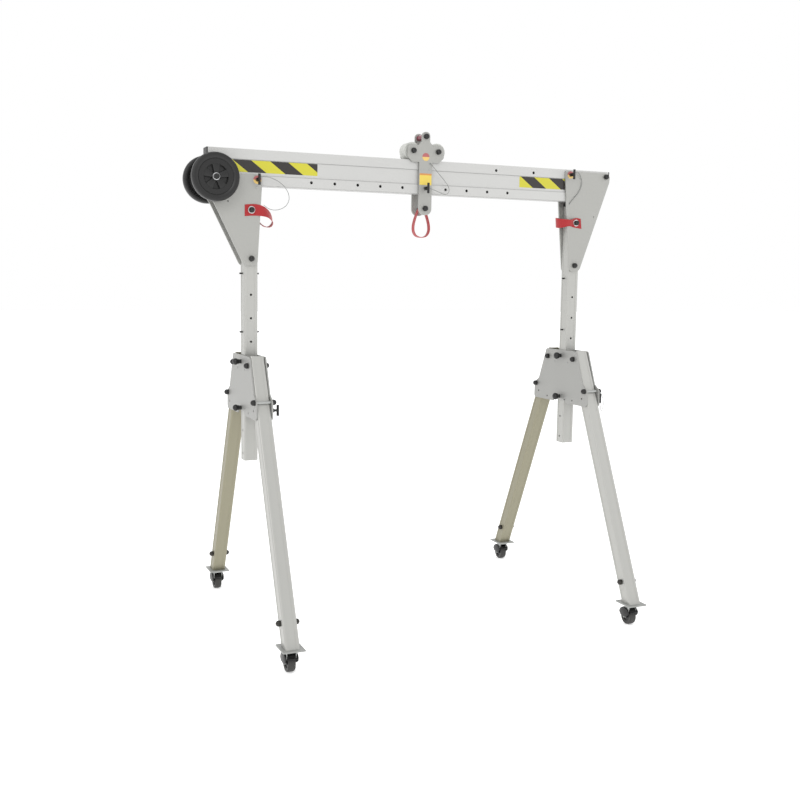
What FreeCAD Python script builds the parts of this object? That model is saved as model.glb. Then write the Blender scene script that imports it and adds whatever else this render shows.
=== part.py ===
import FreeCAD, Part
import math
import os
import re
import Sketcher

# Portable gantry crane: an aluminium box beam on two end frames. Each frame is a pair of gusset
# plates hinged to the beam, a post, and a sliding head that carries two folding legs on casters.
# Millimetres. X runs along the beam, Y across it, Z up; the origin is on the floor under the
# middle of the whole crane. The left frame is at -X, and "front" is -Y.

V = FreeCAD.Vector
X_DIR, Y_DIR, Z_DIR = V(1, 0, 0), V(0, 1, 0), V(0, 0, 1)

SIZES = [
    ("half_span", 803.0, "beam middle to post axis"),
    ("end_margin", 19.0, "hinge bolt to the end of the extrusion"),
    ("beam_height", 150.0, "beam section height"),
    ("tube_side", 60.0, "beam width and side of the post and leg tubes"),
    ("beam_wall", 5.0, "beam side wall"),
    ("web_half", 32.0, "half height of the recessed side of the beam"),
    ("web_depth", 3.0, "depth of that recess"),
    ("hole_line", 50.0, "cross hole line above or below the beam middle"),
    ("hole_pitch", 107.0, "pitch of the lower cross holes"),
    ("span_step", 200.0, "pitch of the upper cross holes"),
    ("cross_hole", 6.5, "radius of the beam cross holes"),
    ("cap_thick", 5.0, "thickness of the beam end caps"),
    ("mitre_back", 35.0, "how far the lower beam corner is cut back"),
    ("mitre_rise", 99.0, "height of that cut"),
    ("hinge_out", 163.0, "post axis to hinge bolt"),
    ("pin_in_left", 26.0, "post axis to the left lock pin, inwards"),
    ("pin_in_right", 38.0, "post axis to the right lock pin, inwards"),
    ("plate_gap", 0.5, "clearance between tubes and plates"),
    ("gusset_plate", 8.0, "gusset plate thickness"),
    ("head_plate", 6.0, "head plate thickness"),
    ("post_length", 1151.0, "post tube length"),
    ("tube_wall", 4.0, "wall of the post and leg tubes"),
    ("tube_round", 7.0, "corner radius of those tubes"),
    ("groove_half", 15.0, "half width of the groove along each tube face"),
    ("groove_deep", 0.8, "depth of that groove"),
    ("beam_above", 96.0, "post top to beam middle"),
    ("post_below", 419.0, "leg pivot level down to the post's lower end"),
    ("post_pitch", 100.0, "pitch of the post holes"),
    ("post_hole", 5.0, "radius of the post holes"),
    ("leg_reach", 1074.5, "leg pivot to foot bolt"),
    ("leg_tilt", 24.47, "lean of a leg from upright, degrees"),
    ("leg_above", 32.0, "leg tube above its pivot"),
    ("pivot_out", 114.0, "post axis to leg pivot"),
    ("leg_pin_down", 200.0, "leg pivot to its lock pin"),
    ("foot_bolt_up", 190.0, "floor to foot bolt"),
    ("foot_long", 105.0, "foot plate along Y"),
    ("foot_wide", 92.0, "foot plate along X"),
    ("foot_thick", 6.0, "foot plate thickness"),
    ("foot_out", 39.5, "foot bolt to foot plate middle"),
    ("caster_height", 97.0, "floor to the underside of the foot plate"),
    ("caster_radius", 37.5, "caster wheel radius"),
    ("caster_width", 32.0, "caster wheel width"),
    ("caster_trail", 15.0, "swivel axis to caster axle"),
    ("caster_axle", 4.0, "caster axle radius"),
    ("wheel_radius", 100.0, "transport wheel radius"),
    ("wheel_width", 38.0, "transport wheel width"),
    ("wheel_out", 80.0, "beam middle plane to transport wheel middle"),
    ("rim_radius", 74.0, "transport wheel rim radius"),
    ("bolt_radius", 6.0, "radius of every pivot bolt"),
    ("fit_gap", 0.05, "running clearance on radius"),
    ("dome_radius", 12.0, "radius of the domed bolt caps"),
    ("dome_straight", 7.0, "straight part of those caps"),
    ("pin_radius", 5.0, "lock pin shank radius"),
    ("pin_collar", 8.0, "lock pin collar radius"),
    ("pin_handle", 46.0, "lock pin handle length"),
    ("pin_stand", 32.0, "plate face to lock pin handle"),
    ("knob_radius", 17.0, "plunger knob radius"),
    ("knob_stand", 31.0, "plate face to knob middle"),
    ("stem_radius", 4.0, "plunger stem radius"),
    ("housing_radius", 9.0, "plunger housing radius"),
    ("housing_long", 12.0, "plunger housing length"),
    ("trolley_gap", 4.0, "clearance between the beam and a trolley plate"),
    ("trolley_plate", 8.0, "trolley plate thickness"),
    ("roller_out", 61.0, "trolley middle to roller axle"),
    ("roller_radius", 38.7, "roller radius"),
    ("roller_rise", 39.0, "beam top to roller axle"),
    ("top_bolt_up", 104.0, "beam top to the trolley's top bolt"),
    ("top_tube_radius", 13.0, "radius of the spacer tube on that bolt"),
    ("low_bolt_down", 64.0, "beam underside to the trolley's lower bolt"),
    ("roller_short", 4.0, "how much narrower than the beam a roller is"),
    ("sling_half", 14.0, "half width of the sling band"),
    ("strap_half", 24.0, "half height of the strap band"),
    ("strap_thick", 2.4, "strap thickness"),
    ("strap_tab", 30.0, "strap end past its bolt"),
    ("strap_left", 70.0, "straight part of the left strap, inwards"),
    ("strap_right", 52.0, "straight part of the right strap, inwards"),
    ("strap_bulge", 33.0, "how far a strap's loop stands in past that"),
    ("strap_down", 80.0, "post top to the strap bolt"),
    ("post_bolt_down", 283.5, "post top to the lower gusset bolt"),
    ("stop_down", 175.9, "leg pivot to its stop bolt, along the leg"),
    ("stop_gap", 0.4, "clearance between a leg and its stop bolt"),
    ("plunger_up", 10.0, "upper plunger above the leg pivots"),
    ("plunger_low", 190.0, "lower plunger below the leg pivots"),
    ("wire_radius", 1.1, "lanyard radius"),
    ("eye_out", 100.0, "post axis to the gusset's tie eye, outwards"),
    ("eye_down", 143.5, "beam middle to that eye"),
    ("eye_radius", 3.5, "radius of that eye"),
    ("nut_thick", 5.0, "nuts on the long hinge bolt"),
    ("nut_stand", 4.0, "transport wheel to those nuts"),
    ("stud_radius", 3.5, "stop studs on the posts"),
    ("stud_long", 12.0, "length of those studs"),
    ("plug_play", 0.4, "play of the plugs in the post"),
    ("plug_low", 12.0, "thickness of the lower plug"),
    ("plug_top", 8.0, "thickness of the upper plug"),
    ("post_cap", 14.0, "height of the cap on the post"),
    ("leg_pin_play", 0.5, "clearance round a leg's lock pin"),
    ("leg_spare", 120.0, "leg tube past the foot bolt, before its level cut"),
    ("lug_thick", 5.0, "thickness of the foot's lugs"),
    ("foot_eye", 6.0, "radius of the foot plate's caster hole"),
    ("hood_wall", 13.0, "brake hood past the wheel, each side"),
    ("hood_over", 6.0, "brake hood past the wheel's rim"),
    ("wheel_gap", 2.0, "clearance round the caster wheel"),
    ("hood_low", 10.0, "brake hood's lower edge below the axle"),
    ("crown_radius", 26.0, "caster crown radius"),
    ("crown_gap", 0.3, "clearance between crown and foot plate"),
    ("crown_sink", 1.0, "how far the crown sits in the hood"),
]
NAMES = {alias for alias, _, _ in SIZES}

doc = FreeCAD.newDocument("portable_gantry_crane")
sheet = doc.addObject("Spreadsheet::Sheet", "dims")
for row, (alias, value, note) in enumerate(SIZES, 1):
    sheet.set(f"A{row}", alias)
    sheet.set(f"B{row}", str(value))
    sheet.setAlias(f"B{row}", alias)
    sheet.set(f"C{row}", note)
doc.recompute()

# Levels and places that follow from the driving sizes, as expressions on the sheet.
BEAM_HALF = "(half_span + hinge_out + end_margin)"
MID = "((wheel_radius - end_margin - cap_thick) / 2)"
PIVOT = "(foot_bolt_up + leg_reach * cos(leg_tilt * 1deg))"
POST_LOW = f"({PIVOT} - post_below)"
POST_TOP = f"({POST_LOW} + post_length)"
BEAM = f"({POST_TOP} + beam_above)"
FOOT_Y = "(pivot_out + leg_reach * sin(leg_tilt * 1deg))"
HALF = "(tube_side / 2)"
GUSSET_IN = f"({HALF} + plate_gap)"
GUSSET_OUT = f"({GUSSET_IN} + gusset_plate)"
HEAD_OUT = f"({GUSSET_IN} + head_plate)"
TROLLEY_IN = f"({HALF} + trolley_gap)"
TROLLEY_OUT = f"({TROLLEY_IN} + trolley_plate)"
BORE = "(bolt_radius + fit_gap)"
SIDES = {"left": -1, "right": 1}
ENDS = {"front": -1, "back": 1}

sub_parts = []


def full(text):
    """An expression with each size name pointed at the sheet."""
    return re.sub(r"[a-z][a-z_]+", lambda m: "dims." * (m.group() in NAMES) + m.group(), str(text))


def num(text):
    """The present value of an expression."""
    return float(sheet.evalExpression(full(text)))


def bind(thing, prop, text):
    thing.setExpression(prop, full(text))


def put(thing, place, direction=Z_DIR):
    """Turn a Z-built thing to a direction and bind where it stands."""
    thing.Placement = FreeCAD.Placement(V(), FreeCAD.Rotation(Z_DIR, direction))
    for axis, text in zip("xyz", place):
        bind(thing, f"Placement.Base.{axis}", text)
    return thing


def rod(name, radius, length, place, direction=Z_DIR):
    thing = doc.addObject("Part::Cylinder", name)
    bind(thing, "Radius", radius)
    bind(thing, "Height", length)
    return put(thing, place, direction)


def block(name, size, low):
    thing = doc.addObject("Part::Box", name)
    for prop, text in zip(("Length", "Width", "Height"), size):
        bind(thing, prop, text)
    return put(thing, low)


def cut(name, base, tool):
    thing = doc.addObject("Part::Cut", name)
    thing.Base, thing.Tool = base, tool
    return thing


def fuse(name, *pieces):
    thing = doc.addObject("Part::MultiFuse", name)
    thing.Shapes = list(pieces)
    return thing


def group(name, *pieces):
    """Several separate solids in one node."""
    thing = doc.addObject("Part::Compound", name + "_set")
    thing.Links = list(pieces)
    return node(name, thing)


def node(name, thing):
    thing.Label = name
    sub_parts.append(thing)
    return thing


def sketch(body, plane, name):
    made = body.newObject("Sketcher::SketchObject", name)
    origin_plane = next(o for o in body.Origin.OriginFeatures if o.Role == plane)
    made.AttachmentSupport = [(origin_plane, "")]
    made.MapMode = "FlatFace"
    return made


def outline(made, points):
    """A closed run of lines whose every corner is bound to the sheet."""
    first = made.GeometryCount
    spots = [(num(u), num(v)) for u, v in points]
    total = len(points)
    for index in range(total):
        start, stop = spots[index], spots[(index + 1) % total]
        made.addGeometry(Part.LineSegment(V(*start, 0), V(*stop, 0)), False)
    for index in range(total):
        after = first + (index + 1) % total
        made.addConstraint(Sketcher.Constraint("Coincident", first + index, 2, after, 1))
    for index, (spot, texts) in enumerate(zip(spots, points)):
        for kind, value, text in zip(("DistanceX", "DistanceY"), spot, texts):
            at = made.addConstraint(Sketcher.Constraint(kind, -1, 1, first + index, 1, value))
            bind(made, f"Constraints[{at}]", text)


def circles(made, holes):
    """Circles (u, v, radius) bound to the sheet."""
    for u, v, radius in holes:
        spot = (num(u), num(v))
        index = made.addGeometry(Part.Circle(V(*spot, 0), Z_DIR, num(radius)), False)
        for kind, value, text in zip(("DistanceX", "DistanceY"), spot, (u, v)):
            at = made.addConstraint(Sketcher.Constraint(kind, -1, 1, index, 3, value))
            bind(made, f"Constraints[{at}]", text)
        at = made.addConstraint(Sketcher.Constraint("Radius", index, num(radius)))
        bind(made, f"Constraints[{at}]", radius)


def pad(body, plane, name, points, thick, holes=(), inner=()):
    """A prism of an outline, evenly about its plane, less its holes and inner outlines."""
    drawn = sketch(body, plane, name + "_sketch")
    outline(drawn, points)
    for loop in inner:
        outline(drawn, loop)
    circles(drawn, holes)
    made = body.newObject("PartDesign::Pad", name + "_pad")
    made.Profile = drawn
    made.SideType = "Symmetric"
    bind(made, "Length", thick)
    doc.recompute()
    return made


def drill(body, plane, name, holes=(), loops=()):
    """Holes and outlines cut right through a body, both ways from its plane."""
    drawn = sketch(body, plane, name + "_sketch")
    circles(drawn, holes)
    for loop in loops:
        outline(drawn, loop)
    made = body.newObject("PartDesign::Pocket", name + "_pocket")
    made.Profile = drawn
    made.SideType = "Symmetric"
    made.Type = "ThroughAll"
    before = body.Shape.Volume
    doc.recompute()
    if not made.Shape.Volume < before:
        raise ValueError(f"{name} cuts nothing")
    return made


def soften(body, base, along, corners):
    """Round the edges that run along a direction through (spot, radius) corners."""
    for count, (spot, radius) in enumerate(corners):
        target = V(*spot)
        for index, edge in enumerate(base.Shape.Edges, 1):
            ends = [vertex.Point for vertex in edge.Vertexes]
            if len(ends) != 2 or abs((ends[1] - ends[0]).normalize().dot(along)) < 0.999:
                continue
            offset = ends[0] - target
            if (offset - along * offset.dot(along)).Length < 0.01:
                break
        else:
            raise ValueError(f"{body.Name}: no edge at {spot}")
        made = body.newObject("PartDesign::Fillet", f"{body.Name}_round_{count}")
        made.Base = (base, [f"Edge{index}"])
        bind(made, "Radius", radius)
        doc.recompute()
        base = made
    return base


def plate(name, plane, along, points, thick, place, holes=(), rounds=(), inner=()):
    """A flat plate; rounds pairs a corner's number with its radius."""
    body = doc.addObject("PartDesign::Body", name)
    base = pad(body, plane, name, points, thick, holes, inner)
    to_space = {"XZ_Plane": lambda u, v: (u, 0, v), "YZ_Plane": lambda u, v: (0, u, v),
                "XY_Plane": lambda u, v: (u, v, 0)}[plane]
    corners = [(to_space(num(points[i][0]), num(points[i][1])), radius) for i, radius in rounds]
    soften(body, base, along, corners)
    return put(body, place)


def dome(name, place, direction):
    """Domed plastic cap over a bolt end, standing on a face and pointing away from it."""
    barrel = rod(name + "_barrel", "dome_radius", "dome_straight", place, direction)
    ball = doc.addObject("Part::Sphere", name + "_ball")
    bind(ball, "Radius", "dome_radius")
    ball.Angle1 = 0
    steps = [f"{text} + {part:g} * dome_straight" for text, part in zip(place, direction)]
    put(ball, steps, direction)
    return fuse(name, barrel, ball)


def bolt(name, place, axis, reach, radius="bolt_radius"):
    """A bolt shank through both plates and a cap at each end; reach is half its length."""
    start = [f"{text} - {part:g} * {reach}" for text, part in zip(place, axis)]
    finish = [f"{text} + {part:g} * {reach}" for text, part in zip(place, axis)]
    return [rod(name + "_shank", radius, f"2 * {reach}", start, axis),
            dome(name + "_cap_low", start, axis * -1), dome(name + "_cap_high", finish, axis)]


def lock_pin(name, place, axis, inner, face):
    """T-handled pin: its shank fills the near plate only and stops short of the locked tube."""
    def along(distance):
        return [f"{text} + {part:g} * ({distance})" for text, part in zip(place, axis)]
    shank = rod(name + "_shank", "pin_radius", f"{face} - {inner} + pin_stand", along(inner), axis)
    collar = rod(name + "_collar", "pin_collar", "pin_stand / 2", along(f"{face} + plate_gap"), axis)
    foot = along(f"{face} + pin_stand")
    foot[2] += " - pin_handle / 2"
    handle = rod(name + "_handle", "pin_radius + 0.5", "pin_handle", foot)
    return node(name, fuse(name + "_fuse", shank, collar, handle))


def grooved_square(inner=False):
    """Section of the post and leg tubes: a square with a shallow groove along each face."""
    if inner:
        wall = f"({HALF} - tube_wall)"
        return [(f"-{wall}", f"-{wall}"), (wall, f"-{wall}"), (wall, wall), (f"-{wall}", wall)]
    low = f"({HALF} - groove_deep)"
    side = [(HALF, f"-{HALF}"), (HALF, "-groove_half"), (low, "-groove_half"), (low, "groove_half"),
            (HALF, "groove_half")]
    points = []
    for turn in range(4):
        for u, v in side:
            points.append((u, v))
        side = [(f"-({v})", u) for u, v in side]
    return points


def tube(name, low, high, drills):
    """A grooved tube along its body's Z, from low to high, drilled across."""
    body = doc.addObject("PartDesign::Body", name)
    drawn = sketch(body, "XY_Plane", name + "_sketch")
    outline(drawn, grooved_square())
    outline(drawn, grooved_square(inner=True))
    made = body.newObject("PartDesign::Pad", name + "_pad")
    made.Profile = drawn
    made.SideType = "Two sides"
    bind(made, "Length", high)
    bind(made, "Length2", low)
    doc.recompute()
    half = num(HALF)
    corners = [((x * half, y * half, 0), "tube_round") for x in (-1, 1) for y in (-1, 1)]
    soften(body, made, Z_DIR, corners)
    for plane, holes in drills:
        drill(body, plane, f"{name}_{plane[:2]}", holes)
    return body


def tube_path(points):
    """Straight runs joined by arcs as large as 0.45 of the shorter run allows; prints radii."""
    edges, radii, start = [], [], points[0]
    for before, corner, after in zip(points, points[1:], points[2:]):
        back, ahead = before - corner, after - corner
        turn = math.pi - back.getAngle(ahead)
        trim = 0.45 * min(back.Length, ahead.Length)
        radii.append(trim / math.tan(turn / 2))
        back.normalize()
        ahead.normalize()
        enter, leave = corner + back * trim, corner + ahead * trim
        middle = back + ahead
        middle.normalize()
        crown = corner + middle * (radii[-1] / math.cos(turn / 2) - radii[-1])
        edges += [Part.LineSegment(start, enter).toShape(), Part.Arc(enter, crown, leave).toShape()]
        start = leave
    edges.append(Part.LineSegment(start, points[-1]).toShape())
    return Part.Wire(edges), radii


def lanyard(name, route, shift):
    """A thin wire along hand-chosen points, given from the beam's middle."""
    points = [V(x + shift, y, z) for x, y, z in route]
    path, radii = tube_path(points)
    radius = num("wire_radius")
    start = Part.Wire([Part.Circle(points[0], points[1] - points[0], radius).toShape()])
    solid = path.makePipeShell([start], True, True)
    ideal = math.pi * radius ** 2 * path.Length
    if abs(solid.Volume / ideal - 1) > 0.02:
        raise ValueError(f"{name}: volume {solid.Volume:.0f} against {ideal:.0f}")
    print(f"{name}: length {path.Length:.0f}, radii", ", ".join(f"{radius:.0f}" for radius in radii))
    thing = doc.addObject("Part::Feature", name + "_wire")
    thing.Shape = solid
    return node(name, thing)


def make_beam():
    """Box extrusion with recessed sides, three chambers and cross holes; its right end is mitred."""
    half_high = "(beam_height / 2)"
    recess = f"({HALF} - web_depth)"
    right = [(HALF, f"-{half_high}"), (HALF, "-web_half"), (recess, "-web_half"), (recess, "web_half"),
             (HALF, "web_half"), (HALF, half_high)]
    left = [(f"-{u}", v) for u, v in reversed(right)]
    room = f"({HALF} - beam_wall)"
    thin_room = f"({recess} - beam_wall)"
    shelf = "beam_wall / 2"
    flange = [(f"-{room}", f"web_half + {shelf}"), (room, f"web_half + {shelf}"),
              (room, f"{half_high} - beam_wall"), (f"-{room}", f"{half_high} - beam_wall")]
    lower = [(u, f"-({v})") for u, v in reversed(flange)]
    middle = [(f"-{thin_room}", f"-web_half + {shelf}"), (thin_room, f"-web_half + {shelf}"),
              (thin_room, f"web_half - {shelf}"), (f"-{thin_room}", f"web_half - {shelf}")]
    body = doc.addObject("PartDesign::Body", "beam_body")
    pad(body, "YZ_Plane", "beam", right + left, f"2 * {BEAM_HALF}", inner=(flange, middle, lower))
    spare = [(f"{step} * hole_pitch", "-hole_line", "cross_hole") for step in range(-5, 5)]
    spare += [(f"half_span + hinge_out - {step} * span_step", "hole_line", "cross_hole") for step in (2, 3)]
    for side, row, pin_in in ((-1, "-hole_line", "pin_in_left"), (1, "hole_line", "pin_in_right")):
        spare += [(f"{side} * (half_span + hinge_out)", row, BORE),
                  (f"{side} * (half_span - {pin_in})", row, "cross_hole")]
    drill(body, "XZ_Plane", "cross_holes", spare)
    past = f"{BEAM_HALF} + cap_thick"
    mitre = [(f"{BEAM_HALF} - mitre_back", f"-{half_high}"), (past, f"-{half_high} - cap_thick"),
             (past, f"-{half_high} + mitre_rise"), (BEAM_HALF, f"-{half_high} + mitre_rise")]
    drill(body, "XZ_Plane", "mitre", loops=[mitre])
    node("beam", put(body, (MID, "0", BEAM)))
    square = [(f"-{BEAM_HALF}", half_high), (f"-{BEAM_HALF} - cap_thick", half_high),
              (f"-{BEAM_HALF} - cap_thick", f"-{half_high}"), (f"-{BEAM_HALF}", f"-{half_high}")]
    mitred = [(BEAM_HALF, half_high), (past, half_high), (past, f"-{half_high} + mitre_rise"),
              (f"{BEAM_HALF} - mitre_back + cap_thick", f"-{half_high}"),
              (f"{BEAM_HALF} - mitre_back", f"-{half_high}"), (BEAM_HALF, f"-{half_high} + mitre_rise")]
    caps = [plate(f"end_cap_{name}", "XZ_Plane", Y_DIR, points, "tube_side", (MID, "0", BEAM))
            for name, points in (("left", square), ("right", mitred))]
    group("beam_end_caps", *caps)


def make_gussets(name, side, middle):
    """The pair of gusset plates, which reach the beam's lower hole line left, its upper right."""
    if side < 0:
        points = [("46", "-28"), ("46", "-75"), ("27", "-393"), ("20", "-409"), ("-32", "-409"),
                  ("-158", "-156"), ("-189", "-110"), ("-189", "-28")]
        rounds = [(0, "5"), (4, "24"), (6, "20"), (7, "26"), (3, "12")]
        level, pin_in = "-hole_line", "pin_in_left"
    else:
        points = [("-66", "66"), ("-66", "32"), ("-51", "-140"), ("-43.5", "-221"), ("-27", "-396"),
                  ("-20", "-409"), ("26", "-409"), ("183", "22"), ("187", "66")]
        rounds = [(0, "5"), (6, "30"), (8, "22"), (7, "20"), (5, "12")]
        level, pin_in = "hole_line", "pin_in_right"
    holes = [(f"{side} * hinge_out", level, BORE), (f"-{side} * {pin_in}", level, "pin_radius + fit_gap"),
             ("0", "-beam_above - strap_down", BORE), ("0", "-beam_above - post_bolt_down", BORE),
             (f"{side} * eye_out", "-eye_down", "eye_radius")]
    plates = []
    for end, way in ENDS.items():
        place = (middle, f"{way} * ({GUSSET_IN} + gusset_plate / 2)", BEAM)
        plates.append(plate(f"{name}_gusset_{end}", "XZ_Plane", Y_DIR, points, "gusset_plate", place,
                            holes, rounds))
    group(f"{name}_gusset_plates", *plates)
    hinge_place = (f"{middle} + {side} * hinge_out", "0", f"{BEAM} + {level}")
    hinge_reach = "(wheel_out + wheel_width / 2 + nut_stand)" if side < 0 else GUSSET_OUT
    strap_reach = f"({GUSSET_OUT} + strap_thick)"
    bolts = bolt(f"{name}_hinge", hinge_place, Y_DIR, hinge_reach)
    if side < 0:
        bolts = bolts[:1]
        hinge_end = [rod(f"{name}_nut_{end}", "dome_radius", "nut_thick",
                         (hinge_place[0], f"{way} * {hinge_reach}", hinge_place[2]), Y_DIR * way)
                     for end, way in ENDS.items()]
        bolts += hinge_end
    bolts += bolt(f"{name}_strap_bolt", (middle, "0", f"{POST_TOP} - strap_down"), Y_DIR, strap_reach)
    bolts += bolt(f"{name}_post_bolt", (middle, "0", f"{POST_TOP} - post_bolt_down"), Y_DIR, GUSSET_OUT)
    group(f"{name}_gusset_bolts", *bolts)
    lock_pin(f"{name}_gusset_pin", (f"{middle} - {side} * {pin_in}", "0", f"{BEAM} + {level}"), Y_DIR * -1,
             GUSSET_IN, GUSSET_OUT)


def make_post(name, middle):
    """Post tube with its rows of height holes, end plugs and stop studs."""
    front = [("0", f"post_length - {down}", "post_hole") for down in (436, 536, 636)]
    front += [("0", f"post_length - {down}", BORE) for down in ("strap_down", "post_bolt_down")]
    side_holes = [("0", f"30 + {step} * post_pitch", "post_hole") for step in range(5)]
    body = tube(f"{name}_post_body", "0", "post_length", [("XZ_Plane", front), ("YZ_Plane", side_holes)])
    node(f"{name}_post", put(body, (middle, "0", POST_LOW)))
    plug = "(tube_side - 2 * tube_wall - plug_play)"
    low = [f"{middle} - {plug} / 2", f"-{plug} / 2"]
    pieces = [block(f"{name}_low_plug", (plug, plug, "plug_low"), low + [POST_LOW]),
              fuse(f"{name}_top_cap",
                   block(f"{name}_top_plug", (plug, plug, "plug_top"), low + [f"{POST_TOP} - plug_top"]),
                   block(f"{name}_top_lid", ("tube_side", "tube_side", "post_cap"),
                         (f"{middle} - {HALF}", f"-{HALF}", POST_TOP)))]
    for index, down in enumerate(("346", "595")):
        for tag, way in (("in", -1), ("out", 1)):
            place = (f"{middle} + {way} * ({HALF} - groove_deep)", "0", f"{POST_TOP} - {down}")
            pieces.append(rod(f"{name}_stud_{index}_{tag}", "stud_radius", "stud_long + groove_deep", place,
                              X_DIR * way))
    group(f"{name}_post_fittings", *pieces)


def make_strap(name, side, middle):
    """Webbing band from the front gusset plate round the post's inner side to the back plate."""
    inner = GUSSET_OUT
    outer = f"({GUSSET_OUT} + strap_thick)"
    bend = "strap_left" if side < 0 else "strap_right"
    body = doc.addObject("PartDesign::Body", f"{name}_strap_body")
    drawn = sketch(body, "XY_Plane", f"{name}_strap_sketch")
    way = -side
    knee = f"({bend} + 0.62 * strap_bulge)"
    apex = f"({bend} + strap_bulge)"
    tab = "-strap_tab"
    loop = [(tab, f"-{outer}"), (bend, f"-{outer}"), (knee, f"-0.75 * {outer}"), (apex, f"-0.28 * {outer}"),
            (apex, f"0.28 * {outer}"), (knee, f"0.75 * {outer}"), (bend, outer), (tab, outer),
            (tab, inner), (bend, inner), (f"{knee} - strap_thick", f"0.72 * {inner}"),
            (f"{apex} - strap_thick", f"0.25 * {inner}"), (f"{apex} - strap_thick", f"-0.25 * {inner}"),
            (f"{knee} - strap_thick", f"-0.72 * {inner}"), (bend, f"-{inner}"), (tab, f"-{inner}")]
    outline(drawn, [(f"{way} * ({u})", v) for u, v in loop])
    made = body.newObject("PartDesign::Pad", f"{name}_strap_pad")
    made.Profile = drawn
    made.SideType = "Symmetric"
    bind(made, "Length", "2 * strap_half")
    doc.recompute()
    drill(body, "XZ_Plane", f"{name}_strap_hole", [("0", "0", BORE)])
    node(f"{name}_strap", put(body, (middle, "0", f"{POST_TOP} - strap_down")))


def make_head(name, middle):
    """Head plates on both X sides, guide blocks, pivot and stop bolts and spring plungers."""
    right = [("240", "-218"), ("237", "-140"), ("198", "-115"), ("134", "38")]
    left = [(f"-{u}", v) for u, v in reversed(right)]
    points = right + left + [("-60", "-218"), ("-50", "-200"), ("50", "-200"), ("60", "-218")]
    rounds = [(0, "16"), (1, "14"), (3, "14"), (4, "14"), (6, "14"), (7, "16")]
    pin_y = "(pivot_out + leg_pin_down * sin(leg_tilt * 1deg))"
    pin_z = "(-leg_pin_down * cos(leg_tilt * 1deg))"
    stop_side = f"({HALF} + bolt_radius + stop_gap)"
    stops = (f"(pivot_out + stop_down * sin(leg_tilt * 1deg) + {stop_side} * cos(leg_tilt * 1deg))",
             f"({stop_side} * sin(leg_tilt * 1deg) - stop_down * cos(leg_tilt * 1deg))")
    holes = []
    for way in (-1, 1):
        holes += [(f"{way} * pivot_out", "0", BORE), (f"{way} * {stops[0]}", stops[1], BORE),
                  (f"{way} * {pin_y}", pin_z, "pin_radius + fit_gap"),
                  (f"{way} * pivot_out", "-leg_pin_down", "pin_radius + fit_gap")]
    plungers = {"upper": "plunger_up", "lower": "(-plunger_low)"}
    plunger_holes = [("0", level, "stem_radius + fit_gap") for level in plungers.values()]
    plates = []
    for tag, way in (("out", -1), ("in", 1)):
        place = (f"{middle} + {way} * ({GUSSET_IN} + head_plate / 2)", "0", PIVOT)
        plates.append(plate(f"{name}_head_{tag}", "YZ_Plane", X_DIR, points, "head_plate", place,
                            holes + (plunger_holes if way < 0 else []), rounds))
    group(f"{name}_head_plates", *plates)
    blocks = []
    for end, way in ENDS.items():
        for tag, reach, low, high in (("upper", "66", "-38", "2"), ("lower", "75", "-206", "-170")):
            wide = f"{reach} - {GUSSET_IN}"
            start = f"{GUSSET_IN}" if way > 0 else f"-{reach}"
            blocks.append(block(f"{name}_{tag}_block_{end}", (f"2 * {GUSSET_IN}", wide, f"{high} - ({low})"),
                                (f"{middle} - {GUSSET_IN}", start, f"{PIVOT} + {low}")))
    bolts = []
    for end, way in ENDS.items():
        bolts += bolt(f"{name}_pivot_{end}", (middle, f"{way} * pivot_out", PIVOT), X_DIR, HEAD_OUT)
        stop_place = (middle, f"{way} * {stops[0]}", f"{PIVOT} + {stops[1]}")
        bolts += bolt(f"{name}_stop_{end}", stop_place, X_DIR, HEAD_OUT)
    for tag, level in plungers.items():
        face = (f"{middle} - {HEAD_OUT}", "0", f"{PIVOT} + {level}")
        housing = rod(f"{name}_{tag}_housing", "housing_radius", "housing_long", face, X_DIR * -1)
        passage = rod(f"{name}_{tag}_passage", "stem_radius + fit_gap", "housing_long", face, X_DIR * -1)
        blocks.append(cut(f"{name}_{tag}_sleeve", housing, passage))
        tip = (f"{middle} - {HALF} - plate_gap", "0", f"{PIVOT} + {level}")
        stem = rod(f"{name}_{tag}_stem", "stem_radius", "head_plate + knob_stand", tip, X_DIR * -1)
        knob = doc.addObject("Part::Sphere", f"{name}_{tag}_knob")
        bind(knob, "Radius", "knob_radius")
        put(knob, (f"{middle} - {HEAD_OUT} - knob_stand", "0", f"{PIVOT} + {level}"))
        node(f"{name}_plunger_{tag}", fuse(f"{name}_plunger_{tag}_fuse", stem, knob))
    group(f"{name}_head_blocks", *blocks)
    group(f"{name}_head_bolts", *bolts)
    for end, way in ENDS.items():
        lock_pin(f"{name}_leg_pin_{end}", (middle, f"{way} * {pin_y}", f"{PIVOT} + {pin_z}"), X_DIR,
                 GUSSET_IN, HEAD_OUT)


def make_leg(name, middle, end, way):
    """Leg tube, cut level at its lower end so that it stands on the foot plate."""
    holes = [("0", "0", BORE), ("0", "-leg_pin_down", "pin_radius + leg_pin_play"), ("0", "-leg_reach", BORE)]
    body = tube(f"{name}_leg_{end}_tube", "leg_reach + leg_spare", "leg_above", [("YZ_Plane", holes)])
    put(body, (middle, f"{way} * pivot_out", PIVOT))
    body.Placement = FreeCAD.Placement(V(), FreeCAD.Rotation(X_DIR * way, num("leg_tilt")))
    bind(body, "Placement.Rotation.Angle", "leg_tilt * 1deg")
    floor = block(f"{name}_leg_{end}_floor", ("4 * tube_side", "8 * tube_side", "caster_height + foot_thick"),
                  (f"{middle} - 2 * tube_side", f"{way} * {FOOT_Y} - 4 * tube_side", "0"))
    node(f"{name}_leg_{end}", cut(f"{name}_leg_{end}_cut", body, floor))


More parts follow.
